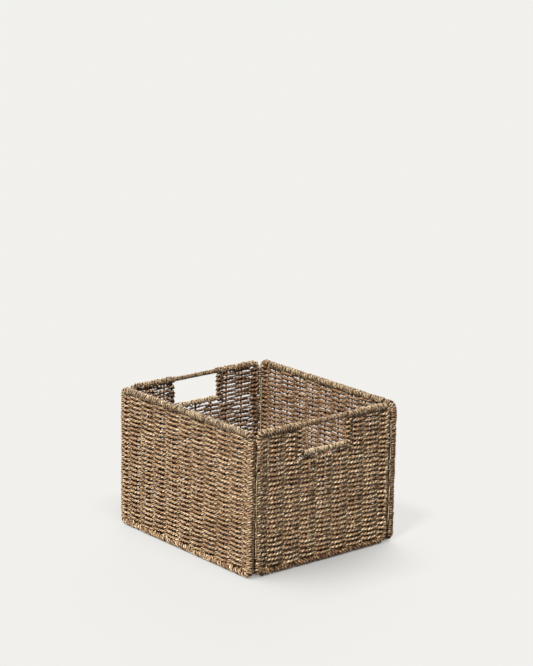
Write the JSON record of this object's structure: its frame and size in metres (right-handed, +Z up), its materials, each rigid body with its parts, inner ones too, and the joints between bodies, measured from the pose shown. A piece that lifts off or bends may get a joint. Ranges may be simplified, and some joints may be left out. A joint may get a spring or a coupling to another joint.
{
  "type": "rectangular storage basket",
  "caption": "Open rectangular storage basket of seagrass woven over wire-framed walls, with a hand hole in each end wall; laced corners let it fold flat once the base mat lifts.",
  "frame": {"origin": "centre of the footprint, on the surface that the basket stands on", "axes": "+X along the handle walls, +Y along the long walls, +Z up"},
  "size_m": [0.258, 0.287, 0.2],
  "materials": {
    "woven_seagrass": "matt twisted seagrass, plain weave, uneven straw and olive strands",
    "wrapped_seagrass": "matt twisted seagrass wound round the rims",
    "base_seagrass": "matt woven seagrass, browner than the walls",
    "lacing_cord": "pale twisted paper-like cord",
    "frame_wire": "thin dark lacquer on steel wire"
  },
  "bodies": {
    "left_wall": {"left_frame_wire": "frame_wire", "left_stakes": "frame_wire", "left_weave": "woven_seagrass", "left_top_wrap": "wrapped_seagrass", "left_bottom_wrap": "wrapped_seagrass", "lacing_front_left": "lacing_cord", "lacing_back_left": "lacing_cord", "base_hinge_cord": "lacing_cord"},
    "front_wall": {"front_frame_wire": "frame_wire", "front_hand_hole_wire": "frame_wire", "front_stakes": "frame_wire", "front_weave": "woven_seagrass", "front_top_wrap": "wrapped_seagrass", "front_grip_wrap": "wrapped_seagrass", "front_sill_wrap": "wrapped_seagrass", "front_bottom_wrap": "wrapped_seagrass"},
    "back_wall": {"back_frame_wire": "frame_wire", "back_hand_hole_wire": "frame_wire", "back_stakes": "frame_wire", "back_weave": "woven_seagrass", "back_top_wrap": "wrapped_seagrass", "back_grip_wrap": "wrapped_seagrass", "back_sill_wrap": "wrapped_seagrass", "back_bottom_wrap": "wrapped_seagrass"},
    "right_wall": {"right_frame_wire": "frame_wire", "right_stakes": "frame_wire", "right_weave": "woven_seagrass", "right_top_wrap": "wrapped_seagrass", "right_bottom_wrap": "wrapped_seagrass", "lacing_front_right": "lacing_cord", "lacing_back_right": "lacing_cord"},
    "base": {"base_mat": "base_seagrass", "base_border": "base_seagrass"}
  },
  "joints": [
    {"name": "fold", "type": "hinge", "parent": "left_wall", "child": "front_wall", "pos_m": [-0.1112, -0.1383, 0], "axis": [0, 0, 1], "range_deg": [0, 90], "deforming": ["base_mat", "base_border"]},
    {"name": "back_wall_turn", "type": "hinge", "parent": "left_wall", "child": "back_wall", "pos_m": [-0.1112, 0.1383, 0], "axis": [0, 0, 1], "range_deg": [0, 90]},
    {"name": "right_wall_turn", "type": "hinge", "parent": "front_wall", "child": "right_wall", "pos_m": [0.1112, -0.1383, 0], "axis": [0, 0, 1], "range_deg": [-90, 0]},
    {"name": "base_lift", "type": "hinge", "parent": "left_wall", "child": "base", "pos_m": [-0.11755, 0, 0.0025], "axis": [0, -1, 0], "range_deg": [0, 90]}
  ],
  "couplings": [
    {"joint": "back_wall_turn", "follows": "fold", "ratio": 1},
    {"joint": "right_wall_turn", "follows": "fold", "ratio": -1},
    {"joint": "base_lift", "follows": "fold", "ratio": 1}
  ]
}
